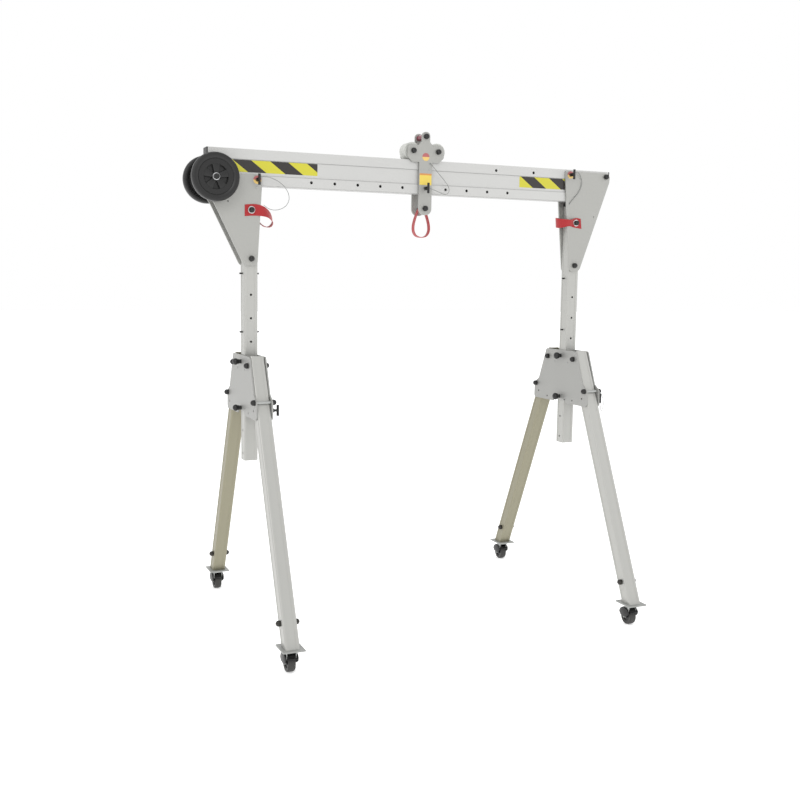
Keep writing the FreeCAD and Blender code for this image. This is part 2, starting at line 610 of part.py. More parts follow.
def make_foot(name, middle, end, way):
    """Foot: a plate with two lugs that stand inside the leg tube and take the foot bolt."""
    plate_y = f"({way} * ({FOOT_Y} + foot_out))"
    base = block(f"{name}_foot_{end}_base", ("foot_wide", "foot_long", "foot_thick"),
                 (f"{middle} - foot_wide / 2", f"{plate_y} - foot_long / 2", "caster_height"))
    lug_base = "(caster_height - foot_bolt_up + foot_thick / 2)"
    points = [("15", lug_base), ("63", lug_base), ("17", "10"), ("-17", "10"), ("-17", "-16")]
    points = [(f"{way} * ({u})", v) for u, v in points]
    pieces = [base]
    for tag, side in (("left", -1), ("right", 1)):
        lug_x = f"{middle} + {side} * ({HALF} - tube_wall - plate_gap - lug_thick / 2)"
        pieces.append(plate(f"{name}_foot_{end}_lug_{tag}", "YZ_Plane", X_DIR, points, "lug_thick",
                            (lug_x, f"{way} * {FOOT_Y}", "foot_bolt_up"), [("0", "0", BORE)]))
    weld = fuse(f"{name}_foot_{end}_weld", *pieces)
    slot = rod(f"{name}_foot_{end}_eye", "foot_eye", "4 * foot_thick",
               (middle, plate_y, "caster_height - foot_thick"))
    bolts = bolt(f"{name}_foot_{end}_bolt", (middle, f"{way} * {FOOT_Y}", "foot_bolt_up"), X_DIR, HALF)
    group(f"{name}_foot_{end}", cut(f"{name}_foot_{end}_bored", weld, slot), *bolts)


def make_caster(name, middle, end, way):
    """Swivel caster: crown, hooded fork with its axle, and the wheel."""
    swivel_y = f"({way} * ({FOOT_Y} + foot_out))"
    axle_y = f"({swivel_y} + caster_trail)"
    wide = "(caster_width + 2 * hood_wall)"
    well_wide = "(caster_width + 1.5 * wheel_gap)"
    crown_low = "(2 * caster_radius + hood_over - crown_sink)"
    hood = rod(f"{name}_hood_{end}_full", "caster_radius + hood_over", wide,
               (f"{middle} - {wide} / 2", f"{axle_y} - hood_over", "caster_radius"), X_DIR)
    well = rod(f"{name}_hood_{end}_well", "caster_radius + wheel_gap", well_wide,
               (f"{middle} - {well_wide} / 2", axle_y, "caster_radius"), X_DIR)
    skirt = block(f"{name}_hood_{end}_skirt", (f"2 * {wide}", "6 * caster_radius", "2 * caster_radius"),
                  (f"{middle} - {wide}", f"{axle_y} - 3 * caster_radius", "-caster_radius - hood_low"))
    shell = cut(f"{name}_hood_{end}_open", cut(f"{name}_hood_{end}_shell", hood, well), skirt)
    crown = rod(f"{name}_crown_{end}", "crown_radius", f"caster_height - crown_gap - {crown_low}",
                (middle, swivel_y, crown_low))
    axle = rod(f"{name}_axle_{end}", "caster_axle", wide, (f"{middle} - {wide} / 2", axle_y, "caster_radius"),
               X_DIR)
    node(f"{name}_caster_fork_{end}", fuse(f"{name}_caster_{end}_fork", shell, crown, axle))
    tyre = rod(f"{name}_wheel_{end}_full", "caster_radius", "caster_width",
               (f"{middle} - caster_width / 2", axle_y, "caster_radius"), X_DIR)
    bore = rod(f"{name}_wheel_{end}_bore", "caster_axle + fit_gap", "2 * caster_width",
               (f"{middle} - caster_width", axle_y, "caster_radius"), X_DIR)
    node(f"{name}_caster_wheel_{end}", cut(f"{name}_wheel_{end}_cut", tyre, bore))


def make_transport_wheels():
    """The two big wheels that run on the ends of the left hinge bolt."""
    middle = f"({MID} - half_span - hinge_out)"
    level = f"({BEAM} - hole_line)"
    for end, way in ENDS.items():
        start = (middle, f"{way} * wheel_out - wheel_width / 2", level)
        full_tyre = rod(f"tyre_{end}_full", "wheel_radius", "wheel_width", start, Y_DIR)
        rim_hole = rod(f"tyre_{end}_hole", "rim_radius", "wheel_width", start, Y_DIR)
        node(f"transport_tyre_{end}", cut(f"tyre_{end}_ring", full_tyre, rim_hole))
        full_hub = rod(f"hub_{end}_full", "rim_radius", "wheel_width", start, Y_DIR)
        bore = rod(f"hub_{end}_bore", BORE, "wheel_width", start, Y_DIR)
        node(f"transport_hub_{end}", cut(f"hub_{end}_cut", full_hub, bore))


def make_trolley():
    """Two cheek plates on two rollers, with lock pin, spacer tube and a sling on the lower bolt."""
    top = f"({BEAM} + beam_height / 2)"
    right = [("31.5", "-243"), ("31.5", "-10"), ("66", "-10"), ("89", "13"), ("89", "69"), ("38", "62"),
             ("20", "80"), ("20", "124")]
    left = [(f"-{u}", v) for u, v in reversed(right)]
    rounds = [(0, "28"), (3, "6"), (4, "20"), (7, "18"), (8, "18"), (11, "20"), (12, "6"), (15, "28")]
    lower = "(-beam_height - low_bolt_down)"
    pin_level = "(-beam_height / 2 - hole_line)"
    holes = [("0", "top_bolt_up", BORE), ("-roller_out", "roller_rise", BORE),
             ("roller_out", "roller_rise", BORE), ("0", lower, BORE), ("0", pin_level, "pin_radius + fit_gap")]
    plates = []
    for end, way in ENDS.items():
        place = (MID, f"{way} * ({TROLLEY_IN} + trolley_plate / 2)", top)
        plates.append(plate(f"trolley_{end}", "XZ_Plane", Y_DIR, right + left, "trolley_plate", place,
                            holes, rounds))
    group("trolley_plates", *plates)
    bolts = bolt("trolley_top_bolt", (MID, "0", f"{top} + top_bolt_up"), Y_DIR, TROLLEY_OUT)
    bolts += bolt("trolley_low_bolt", (MID, "0", f"{top} + {lower}"), Y_DIR, TROLLEY_OUT)
    for name, side in SIDES.items():
        axle = (f"{MID} + {side} * roller_out", "0", f"{top} + roller_rise")
        bolts += bolt(f"trolley_{name}_axle", axle, Y_DIR, TROLLEY_OUT)
        start = (axle[0], f"-{HALF} + roller_short / 2", axle[2])
        full_roller = rod(f"roller_{name}_full", "roller_radius", "tube_side - roller_short", start, Y_DIR)
        bore = rod(f"roller_{name}_bore", BORE, "tube_side - roller_short", start, Y_DIR)
        node(f"trolley_roller_{name}", cut(f"roller_{name}_cut", full_roller, bore))
    group("trolley_bolts", *bolts)
    start = (MID, f"-{TROLLEY_IN}", f"{top} + top_bolt_up")
    tube_full = rod("top_tube_full", "top_tube_radius", f"2 * {TROLLEY_IN}", start, Y_DIR)
    tube_bore = rod("top_tube_bore", BORE, f"2 * {TROLLEY_IN}", start, Y_DIR)
    node("trolley_top_tube", cut("top_tube_cut", tube_full, tube_bore))
    lock_pin("trolley_pin", (MID, "0", f"{BEAM} - hole_line"), Y_DIR * -1, TROLLEY_IN, TROLLEY_OUT)
    half = [("43", "-128"), ("43", "-70"), ("bolt_radius + 7", "bolt_radius + 7")]
    hole = [("18", "-120"), ("35", "-102"), ("35", "-70"), ("bolt_radius + 1.5", "bolt_radius + plate_gap")]
    outer, inner = (part + [(f"-({u})", v) for u, v in reversed(part)] for part in (half, hole))
    place = (MID, "0", f"{top} + {lower}")
    node("sling", plate("sling_body", "XZ_Plane", Y_DIR, outer, "2 * sling_half", place,
                        rounds=[(0, "30"), (5, "30"), (1, "60"), (4, "60"), (2, "8"), (3, "8")],
                        inner=(inner,)))


def make_lanyards():
    """The wires that keep the lock pins; their points are chosen by hand, from the beam's middle."""
    shift = num(MID)
    lanyard("trolley_lanyard", [
        (20, -46, 2058), (38, -49, 2040), (62, -50, 2013), (86, -50, 1990), (107, -50, 1966), (117, -50, 1945),
        (110, -50, 1927), (92, -51, 1922), (64, -54, 1931), (34, -60, 1940), (10, -66, 1946)], shift)
    lanyard("left_gusset_lanyard", [
        (-770, -64, 1957), (-747, -60, 1959), (-719, -56, 1955), (-688, -54, 1942), (-661, -53, 1921),
        (-644, -53, 1894), (-641, -53, 1867), (-653, -53, 1843), (-677, -53, 1827),
        (-705, -51, 1821), (-733, -48, 1826), (-752, -45.5, 1842)], shift)
    lanyard("right_gusset_lanyard", [
        (772, -64, 2054), (790, -57, 2060), (808, -48, 2053), (821, -43, 2036), (828, -42, 2014),
        (824, -42, 1990), (811, -42, 1966), (791, -42, 1943), (772, -42, 1924), (762, -41, 1909)], shift)
    lanyard("right_leg_lanyard_front", [
        (872, -197, 962.4), (872, -199, 951), (868, -208, 937), (860, -224, 928), (853, -243, 934),
        (850, -256, 952), (849, -258, 975), (849, -250, 998), (848, -238, 1014)], shift)
    lanyard("right_leg_lanyard_back", [
        (872, 197, 962.4), (872, 202, 951), (865, 222, 940), (857, 243, 946), (852, 259, 964), (850, 267, 990),
        (849, 266, 1018), (848, 258, 1044), (847, 244, 1062), (846, 225, 1064)], shift)


def check_all():
    """Stop on any failed object or bad shape."""
    for thing in doc.Objects:
        bad = {"Invalid", "Error"} & set(thing.State)
        if bad:
            raise ValueError(f"{thing.Label}: {', '.join(bad)}")
    for thing in sub_parts:
        if thing.Shape.isNull() or not thing.Shape.isValid() or not thing.Shape.Solids:
            raise ValueError(f"{thing.Label}: no valid solid")


make_beam()
for frame_name, frame_side in SIDES.items():
    post_middle = f"({MID} + {frame_side} * half_span)"
    make_gussets(frame_name, frame_side, post_middle)
    make_post(frame_name, post_middle)
    make_strap(frame_name, frame_side, post_middle)
    make_head(frame_name, post_middle)
    for leg_name, leg_way in ENDS.items():
        make_leg(frame_name, post_middle, leg_name, leg_way)
        make_foot(frame_name, post_middle, leg_name, leg_way)
        make_caster(frame_name, post_middle, leg_name, leg_way)
make_transport_wheels()
make_trolley()
make_lanyards()
doc.recompute()
check_all()
os.makedirs("parts", exist_ok=True)
for thing in sub_parts:
    thing.Shape.exportStep(f"parts/{thing.Label}.step")
print(len(sub_parts), "sub-parts written")
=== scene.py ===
"""Portable gantry crane: the looks, laid out as a Blender add-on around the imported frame."""
import math

import bmesh
import bpy
from mathutils import Matrix, Vector


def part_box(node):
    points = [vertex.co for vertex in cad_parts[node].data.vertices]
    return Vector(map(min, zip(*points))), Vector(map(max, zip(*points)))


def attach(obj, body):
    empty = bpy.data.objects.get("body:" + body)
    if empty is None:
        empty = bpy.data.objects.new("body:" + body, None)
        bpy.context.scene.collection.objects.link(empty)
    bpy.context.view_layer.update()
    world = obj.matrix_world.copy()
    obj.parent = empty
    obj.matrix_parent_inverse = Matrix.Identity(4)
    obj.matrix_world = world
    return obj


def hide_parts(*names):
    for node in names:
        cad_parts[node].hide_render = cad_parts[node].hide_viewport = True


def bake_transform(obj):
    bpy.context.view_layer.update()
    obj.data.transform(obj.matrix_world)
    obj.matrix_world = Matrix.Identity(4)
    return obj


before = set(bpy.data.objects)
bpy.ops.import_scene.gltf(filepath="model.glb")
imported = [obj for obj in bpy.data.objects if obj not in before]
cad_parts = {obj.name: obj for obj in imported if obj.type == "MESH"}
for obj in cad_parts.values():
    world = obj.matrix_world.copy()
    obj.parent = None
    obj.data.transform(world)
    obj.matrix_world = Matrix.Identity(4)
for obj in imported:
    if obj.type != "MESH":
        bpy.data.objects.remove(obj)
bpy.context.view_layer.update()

bl_info = {
    "name": "Portable Gantry Crane",
    "version": (1, 0, 0),
    "blender": (4, 5, 0),
    "location": "3D View > Sidebar > Gantry",
    "description": "Dresses a packed gantry crane with its wheels, straps, cords, labels and finishes",
    "category": "Add Mesh",
}

X, Y, Z = Vector((1, 0, 0)), Vector((0, 1, 0)), Vector((0, 0, 1))
MM = 0.001
SIDES = {"left": -1, "right": 1}
ENDS = {"front": -1, "back": 1}


def middle(node):
    """Centre of a CAD node's box."""
    low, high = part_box(node)
    return (Vector(low) + Vector(high)) / 2


BEAM_HIGH = Vector(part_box("beam")[1])
BEAM_MID = middle("beam")
POST = {side: middle(f"{side}_post") for side in SIDES}
GUSSET_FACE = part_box("left_gusset_plates")[1][1]
HEAD_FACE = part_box("left_head_plates")[1][0] - POST["left"].x
TROLLEY_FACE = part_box("trolley_plates")[1][1]
PIN_LEFT, PIN_RIGHT = middle("left_gusset_pin"), middle("right_gusset_pin")
STRAP_BOLT = middle("left_strap").z
RECESS_DEPTH = 3 * MM        # of the long recess in each side of the beam
RECESS_HALF = 32 * MM        # half the height of that recess
BEAM_EDGE = 74 * MM          # from the beam's middle to just above its lower edge
TAPE_THICK = 0.4 * MM
STICKER_RADIUS = 17.5 * MM
STICKER_THICK = 0.25 * MM
CAP_LEVEL = 0.153            # the moulded caps of the feet lie above this height
STOP_BOLT_OUT = 220 * MM     # from the post's middle to each stop bolt
WHEEL_SPOKES = 5
THREAD_GAP_MM = 1.5


# ---------------------------------------------------------------- settings

class GantryColours(bpy.types.PropertyGroup):
    """Colours of the finishes, as sRGB hex."""
    beam: bpy.props.StringProperty(name="Beam", description="Anodised beam", default="#BEBEBC")
    plate: bpy.props.StringProperty(name="Plates", description="Gusset and trolley plates", default="#A3A39F")
    head: bpy.props.StringProperty(name="Head plates", description="Plates of the leg heads",
                                   default="#9C9C99")
    tube: bpy.props.StringProperty(name="Tubes", description="Posts and legs", default="#AEAEAA")
    tape: bpy.props.StringProperty(name="Tape", description="Hazard tape yellow", default="#BFB933")
    strap: bpy.props.StringProperty(name="Webbing", description="Red webbing", default="#B01C22")
    black: bpy.props.StringProperty(name="Black", description="Moulded black plastic", default="#0E0E0E")


class GantrySizes(bpy.types.PropertyGroup):
    """Sizes a user would change."""
    tape_height: bpy.props.FloatProperty(name="Tape height", description="Hazard tape height",
                                         default=50 * MM, unit="LENGTH")
    wire: bpy.props.FloatProperty(name="Wire", description="Lanyard diameter", default=2.2 * MM,
                                  unit="LENGTH")
    tread: bpy.props.IntProperty(name="Wheel steps", description="Facets round a wheel", default=96, min=24)


class GantryView(bpy.types.PropertyGroup):
    """Where the camera stands."""
    place: bpy.props.FloatVectorProperty(name="Place", description="Camera position", subtype="TRANSLATION",
                                         default=(-1.966, -4.388, 1.545), unit="LENGTH")
    yaw: bpy.props.FloatProperty(name="Yaw", description="Turn to the right from along Y", subtype="ANGLE",
                                 default=math.radians(23.56))
    pitch: bpy.props.FloatProperty(name="Pitch", description="Tilt down", subtype="ANGLE",
                                   default=math.radians(6.66))
    roll: bpy.props.FloatProperty(name="Roll", description="Lean to one side", subtype="ANGLE",
                                  default=math.radians(0.863))
    lens: bpy.props.FloatProperty(name="Lens", description="Focal length", default=47.07, unit="CAMERA")


# ---------------------------------------------------------------- materials

def linear(text):
    """An sRGB hex colour as linear RGBA."""
    parts = [int(text[i:i + 2], 16) / 255 for i in (1, 3, 5)]
    return [c / 12.92 if c <= 0.04045 else ((c + 0.055) / 1.055) ** 2.4 for c in parts] + [1.0]


def add(tree, kind, inputs=(), **settings):
    """Adds a node; inputs pairs a socket with a value or with another node's output."""
    made = tree.nodes.new(kind)
    for key, value in settings.items():
        setattr(made, key, value)
    for socket, value in dict(inputs).items():
        if isinstance(value, bpy.types.NodeSocket):
            tree.links.new(value, made.inputs[socket])
        else:
            made.inputs[socket].default_value = value
    return made


def new_material(name):
    """An empty node material with its shader."""
    made = bpy.data.materials.new(name)
    made.use_nodes = True
    tree = made.node_tree
    tree.nodes.clear()
    shader = add(tree, "ShaderNodeBsdfPrincipled")
    out = add(tree, "ShaderNodeOutputMaterial", {"Surface": shader.outputs["BSDF"]})
    out.location = (300, 0)
    return made, tree, shader


def surface(name, colour, rough, metal=0.0, grain_mm=(2, 2, 2), tone=0.06, bump=0.1, second=None, sheen=0.0,
            coat=0.0):
    """A surface with fine grain of a real size: the grain varies its tone, its gloss and its relief."""
    made, tree, shader = new_material(name)
    place = add(tree, "ShaderNodeTexCoord")
    scaled = add(tree, "ShaderNodeMapping", {"Vector": place.outputs["Object"],
                                             "Scale": [1000 / size for size in grain_mm]})
    grain = add(tree, "ShaderNodeTexNoise", {"Vector": scaled.outputs["Vector"], "Scale": 1.0, "Detail": 3.0})
    broad = add(tree, "ShaderNodeTexNoise", {"Vector": place.outputs["Object"], "Scale": 7.0, "Detail": 2.0})
    both = add(tree, "ShaderNodeMath", {0: grain.outputs["Fac"], 1: broad.outputs["Fac"]}, operation="ADD")
    half = add(tree, "ShaderNodeMath", {0: both.outputs[0], 1: 0.5}, operation="MULTIPLY")
    base = linear(colour)
    dark = [c * (1 - tone) for c in base[:3]] + [1.0]
    light = linear(second) if second else [min(1.0, c * (1 + tone)) for c in base[:3]] + [1.0]
    mixed = add(tree, "ShaderNodeMix", {0: half.outputs[0], 6: dark, 7: light}, data_type="RGBA")
    gloss = add(tree, "ShaderNodeMapRange", {"Value": half.outputs[0], "To Min": max(0.05, rough - 0.08),
                                             "To Max": min(1.0, rough + 0.08)})
    relief = add(tree, "ShaderNodeBump", {"Height": grain.outputs["Fac"], "Strength": bump,
                                          "Distance": 0.0003})
    tree.links.new(mixed.outputs[2], shader.inputs["Base Color"])
    tree.links.new(gloss.outputs["Result"], shader.inputs["Roughness"])
    tree.links.new(relief.outputs["Normal"], shader.inputs["Normal"])
    shader.inputs["Metallic"].default_value = metal
    shader.inputs["Sheen Weight"].default_value = sheen
    shader.inputs["Coat Weight"].default_value = coat
    return made


def painted_shade_lines(made, levels, half_mm, part):
    """Darker lines at fixed levels: painted shade that stands for the shadowed edges of a shallow recess."""
    tree = made.node_tree
    shader = next(node for node in tree.nodes if node.type == "BSDF_PRINCIPLED")
    clean = shader.inputs["Base Color"].links[0].from_socket
    place = add(tree, "ShaderNodeTexCoord")
    parts = add(tree, "ShaderNodeSeparateXYZ", {0: place.outputs["Object"]})
    painted_shade_mask = None
    for level in levels:
        near = add(tree, "ShaderNodeMath", {0: parts.outputs["Z"], 1: level, 2: half_mm * MM},
                   operation="COMPARE").outputs[0]
        if painted_shade_mask:
            near = add(tree, "ShaderNodeMath", {0: near, 1: painted_shade_mask}, operation="MAXIMUM").outputs[0]
        painted_shade_mask = near
    faint = add(tree, "ShaderNodeMath", {0: painted_shade_mask, 1: part}, operation="MULTIPLY")
    # Painted shade: along the lines the clean colour is mixed towards dark grey #4A4A4A.
    mixed = add(tree, "ShaderNodeMix", {0: faint.outputs[0], 6: clean, 7: linear("#4A4A4A")},
                data_type="RGBA")
    tree.links.new(mixed.outputs[2], shader.inputs["Base Color"])


def split_by_height(name, upper, lower, level, rough=0.45, worn_part=0.18):
    """Two colours that meet at a level, such as printed vinyl."""
    made, tree, shader = new_material(name)
    place = add(tree, "ShaderNodeTexCoord")
    parts = add(tree, "ShaderNodeSeparateXYZ", {0: place.outputs["Object"]})
    above = add(tree, "ShaderNodeMath", {0: parts.outputs["Z"], 1: level}, operation="GREATER_THAN")
    speck = add(tree, "ShaderNodeTexNoise", {"Vector": place.outputs["Object"], "Scale": 400.0,
                                             "Detail": 2.0})
    mixed = add(tree, "ShaderNodeMix", {0: above.outputs[0], 6: linear(lower), 7: linear(upper)},
                data_type="RGBA")
    worn = add(tree, "ShaderNodeMix", {0: speck.outputs["Fac"], 6: mixed.outputs[2], 7: linear("#B8A888")},
               data_type="RGBA")
    faint = add(tree, "ShaderNodeMath", {0: speck.outputs["Fac"], 1: worn_part}, operation="MULTIPLY")
    tree.links.new(faint.outputs[0], worn.inputs[0])
    tree.links.new(worn.outputs[2], shader.inputs["Base Color"])
    shader.inputs["Roughness"].default_value = rough
    return made


def hazard_vinyl(name, colour, start, period, black):
    """Self-adhesive hazard tape: black bands that lean back over yellow vinyl."""
    made, tree, shader = new_material(name)
    place = add(tree, "ShaderNodeTexCoord")
    parts = add(tree, "ShaderNodeSeparateXYZ", {0: place.outputs["Object"]})
    lean = add(tree, "ShaderNodeMath", {0: parts.outputs["Z"], 1: 1.35, 2: parts.outputs["X"]},
               operation="MULTIPLY_ADD")
    shifted = add(tree, "ShaderNodeMath", {0: lean.outputs[0], 1: start}, operation="SUBTRACT")
    counted = add(tree, "ShaderNodeMath", {0: shifted.outputs[0], 1: period}, operation="DIVIDE")
    cycle = add(tree, "ShaderNodeMath", {0: counted.outputs[0]}, operation="FRACT")
    band = add(tree, "ShaderNodeMath", {0: cycle.outputs[0], 1: black / period}, operation="LESS_THAN")
    mixed = add(tree, "ShaderNodeMix", {0: band.outputs[0], 6: linear(colour), 7: linear("#2A2624")},
                data_type="RGBA")
    dust = add(tree, "ShaderNodeTexNoise", {"Vector": place.outputs["Object"], "Scale": 90.0, "Detail": 4.0})
    gloss = add(tree, "ShaderNodeMapRange", {"Value": dust.outputs["Fac"], "To Min": 0.25, "To Max": 0.5})
    tree.links.new(mixed.outputs[2], shader.inputs["Base Color"])
    tree.links.new(gloss.outputs["Result"], shader.inputs["Roughness"])
    return made


def webbing(name, colour):
    """Woven polyester webbing: threads 1.5 mm apart cross at right angles, with a soft sheen."""
    made, tree, shader = new_material(name)
    place = add(tree, "ShaderNodeTexCoord")
    threads = []
    fine = 1000 / THREAD_GAP_MM / 6.28
    for direction in ("X", "Z"):
        threads.append(add(tree, "ShaderNodeTexWave", {"Vector": place.outputs["Object"], "Scale": fine,
                                                       "Distortion": 0.6}, bands_direction=direction))
    woven = add(tree, "ShaderNodeMath", {0: threads[0].outputs["Fac"], 1: threads[1].outputs["Fac"]},
                operation="MULTIPLY")
    base = linear(colour)
    between = [c * 0.72 for c in base[:3]] + [1.0]
    mixed = add(tree, "ShaderNodeMix", {0: woven.outputs[0], 6: between, 7: base}, data_type="RGBA")
    relief = add(tree, "ShaderNodeBump", {"Height": woven.outputs[0], "Strength": 0.5, "Distance": 0.0004})
    tree.links.new(mixed.outputs[2], shader.inputs["Base Color"])
    tree.links.new(relief.outputs["Normal"], shader.inputs["Normal"])
    shader.inputs["Roughness"].default_value = 0.75
    shader.inputs["Sheen Weight"].default_value = 0.3
    return made


MATERIALS = {}


def make_materials():
    """Every finish that more than one piece shares."""
    colours = bpy.context.scene.gantry_colours
    # Anodised extrusion: die lines run along the tube and stretch its highlights.
    MATERIALS["beam"] = surface("anodised_extrusion_beam", colours.beam, 0.42, 0.35, (400, 2, 2), 0.03, 0.15)
    MATERIALS["tube"] = surface("anodised_extrusion_tube", colours.tube, 0.4, 0.4, (2, 2, 400), 0.04, 0.15)
    # Painted shade: dark lines along the beam at the upper and lower edges of the side recess and just above
    # its lower edge.
    edges = [BEAM_MID.z - RECESS_HALF, BEAM_MID.z + RECESS_HALF, BEAM_MID.z - BEAM_EDGE]
    painted_shade_lines(MATERIALS["beam"], edges, 1.6, 0.3)
    # Brushed and anodised sheet: a silky grey with a faint tooth.
    for key in ("plate", "head"):
        MATERIALS[key] = surface(f"anodised_aluminium_{key}", getattr(colours, key), 0.45, 0.4,
                                 (1.2, 1.2, 14), 0.05, 0.12)
    # Moulded nylon: near black with the low gloss of a sparked mould.
    MATERIALS["black"] = surface("moulded_black_nylon", colours.black, 0.38, 0, (0.8, 0.8, 0.8), 0.2, 0.25)
    # The same extrusion in a warmer and darker tone for the back legs: painted shade with a warm bounce of
    # light, a shaded copy of the tube finish.
    MATERIALS["tube_painted_shade"] = surface("painted_shade_extrusion_tube", "#8D8975", 0.45, 0.3, (2, 2, 400), 0.05,
                                     0.15)
    # Foot fittings: black moulded caps above a zinc-plated steel plate.
    MATERIALS["foot"] = split_by_height("foot_fitting", "#101010", "#8E908E", CAP_LEVEL, 0.38, 0.05)
    # Vulcanised rubber: matt black tyres, and a grey tread on the casters.
    MATERIALS["tyre"] = surface("black_tyre_rubber", "#101010", 0.42, 0, (3, 3, 3), 0.25, 0.2)
    MATERIALS["caster"] = surface("grey_caster_rubber", "#2E2D2B", 0.5, 0, (2, 2, 2), 0.2, 0.3)
    # Bright zinc plate: cool, slightly clouded metal.
    MATERIALS["zinc"] = surface("zinc_plated_steel", "#A9ABA9", 0.35, 0.7, (4, 4, 4), 0.12, 0.1)
    MATERIALS["chrome"] = surface("polished_steel_washer", "#DADBDC", 0.15, 1.0, (3, 3, 3), 0.05, 0.03)
    MATERIALS["wire"] = surface("plastic_covered_wire", "#6E706E", 0.35, 0.3, (1, 1, 1), 0.1, 0.2)
    MATERIALS["roller"] = surface("turned_pale_nylon", "#BFC0BB", 0.45, 0.1, (1, 6, 1), 0.05, 0.15)
    MATERIALS["maroon"] = surface("dark_red_enamel", "#7A2338", 0.35, 0.1, (5, 5, 5), 0.15, 0.05, coat=0.3)
    MATERIALS["red"] = webbing("woven_red_webbing", colours.strap)


def paint(made, key):
    """Gives a CAD node its finish; its mesh stays as it is."""
    made.data.materials.clear()
    made.data.materials.append(MATERIALS[key])


# ---------------------------------------------------------------- meshes

def finish_mesh(name, shape, key, body, smooth=35):
    """Makes a clean object of a bmesh, at the origin, and rides it on a body."""
    bmesh.ops.remove_doubles(shape, verts=shape.verts, dist=1e-6)
    bmesh.ops.recalc_face_normals(shape, faces=shape.faces)
    data = bpy.data.meshes.new(name)
    shape.to_mesh(data)
    shape.free()
    made = bpy.data.objects.new(name, data)
    bpy.context.scene.collection.objects.link(made)
    data.materials.append(MATERIALS[key] if isinstance(key, str) else key)
    for face in data.polygons:
        face.use_smooth = True
    data.set_sharp_from_angle(angle=math.radians(smooth))
    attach(made, body)
    return made


def turned(profile, centre, axis, steps=64, angle=2 * math.pi, start=None):
    """A bmesh spun about an axis; profile holds (radius, along) pairs and is closed."""
    shape = bmesh.new()
    out = start or (Z if abs(axis.z) < 0.5 else X)
    spots = [shape.verts.new(centre + out * radius + axis * along) for radius, along in profile]
    edges = [shape.edges.new((spots[i], spots[(i + 1) % len(spots)])) for i in range(len(spots))]
    whole = angle > 6.28
    if not whole:
        shape.faces.new(spots)
    bmesh.ops.spin(shape, geom=spots + edges, cent=centre, axis=axis, angle=angle, steps=steps,
                   use_merge=whole)
    if not whole:
        bmesh.ops.holes_fill(shape, edges=[edge for edge in shape.edges if edge.is_boundary])
    bmesh.ops.dissolve_degenerate(shape, edges=shape.edges, dist=1e-6)
    return shape


def solid_round(radius, low, high, edge=0.0):
    """Profile of a turned solid from its axis out, with its rim edges softened."""
    if not edge:
        return [(0, low), (radius, low), (radius, high), (0, high)]
    arc = [edge * (1 - math.cos(math.radians(a))) for a in (0, 30, 60, 90)]
    rise = [edge * math.sin(math.radians(a)) for a in (0, 30, 60, 90)]
    low_rim = [(radius - edge + rise[i], low + arc[i]) for i in range(4)]
    return [(0, low)] + low_rim + [(r, low + high - z) for r, z in reversed(low_rim)] + [(0, high)]


def ring(inner, outer, low, high, edge=0.0005):
    """Profile of a turned ring with chamfered edges."""
    return [(inner, low + edge), (inner + edge, low), (outer - edge, low), (outer, low + edge),
            (outer, high - edge), (outer - edge, high), (inner + edge, high), (inner, high - edge)]


def block(size, centre, bevel=0.001, segments=2):
    """A bmesh box with rounded edges."""
    shape = bmesh.new()
    bmesh.ops.create_cube(shape, size=1.0, matrix=Matrix.Translation(centre) @ Matrix.Diagonal((*size, 1)))
    bmesh.ops.bevel(shape, geom=list(shape.edges), offset=bevel, segments=segments, profile=0.5, material=-1,
                    affect="EDGES")
    return shape


def join(*shapes):
    """Puts several bmeshes in the first."""
    whole = shapes[0]
    for shape in shapes[1:]:
        spare = bpy.data.meshes.new("spare")
        shape.to_mesh(spare)
        whole.from_mesh(spare)
        bpy.data.meshes.remove(spare)
        shape.free()
    return whole


def prism(points, depth_axis, low, high, bevel=0.0):
    """A bmesh plate: an outline of points, pushed along an axis from low to high."""
    shape = bmesh.new()
    face = shape.faces.new([shape.verts.new(point + depth_axis * low) for point in points])
    pushed = bmesh.ops.extrude_face_region(shape, geom=[face])
    moved = [item for item in pushed["geom"] if isinstance(item, bmesh.types.BMVert)]
    bmesh.ops.translate(shape, verts=moved, vec=depth_axis * (high - low))
    bmesh.ops.recalc_face_normals(shape, faces=shape.faces)
    if bevel:
        bmesh.ops.bevel(shape, geom=list(shape.edges), offset=bevel, segments=2, profile=0.5, material=-1,
                        affect="EDGES")
    return shape


def spline(points, steps, closed=False):
    """Catmull-Rom points through vectors of any length."""
    count = len(points)
    pick = (lambda i: points[i % count]) if closed else (lambda i: points[max(0, min(count - 1, i))])
    result = []
    for index in range(count if closed else count - 1):
        a, b, c, d = (pick(index + k) for k in (-1, 0, 1, 2))
        for step in range(steps):
            t = step / steps
            result.append(0.5 * ((2 * b) + (c - a) * t + (2 * a - 5 * b + 4 * c - d) * t ** 2
                                 + (3 * b - a - 3 * c + d) * t ** 3))
    if not closed:
        result.append(points[-1].copy())
    return result


def ribbon(centres, wides, thick, closed=False, steps=8, across=6, crown=0.0):
    """A webbing band along centre points; wides holds the half-width vector at each point."""
    line = spline(centres, steps, closed)
    spread = spline(wides, steps, closed)
    shape = bmesh.new()
    rows = []
    painted_shade_mask = len(line)
    for index, (spot, wide) in enumerate(zip(line, spread)):
        before = line[index - 1] if index or closed else line[0]
        after = line[(index + 1) % painted_shade_mask] if closed or index < painted_shade_mask - 1 else line[-1]
        out = (after - before).cross(wide).normalized()
        row = []
        for k in range(across + 1):
            share = 2 * k / across - 1
            row.append(shape.verts.new(spot + wide * share + out * (crown * (1 - share ** 2))))
        rows.append(row)
    pairs = list(zip(rows, rows[1:])) + ([(rows[-1], rows[0])] if closed else [])
    for low, high in pairs:
        for k in range(across):
            shape.faces.new((low[k], low[k + 1], high[k + 1], high[k]))
    bmesh.ops.recalc_face_normals(shape, faces=shape.faces)
    bmesh.ops.solidify(shape, geom=list(shape.faces), thickness=thick)
    return shape


# ---------------------------------------------------------------- stage

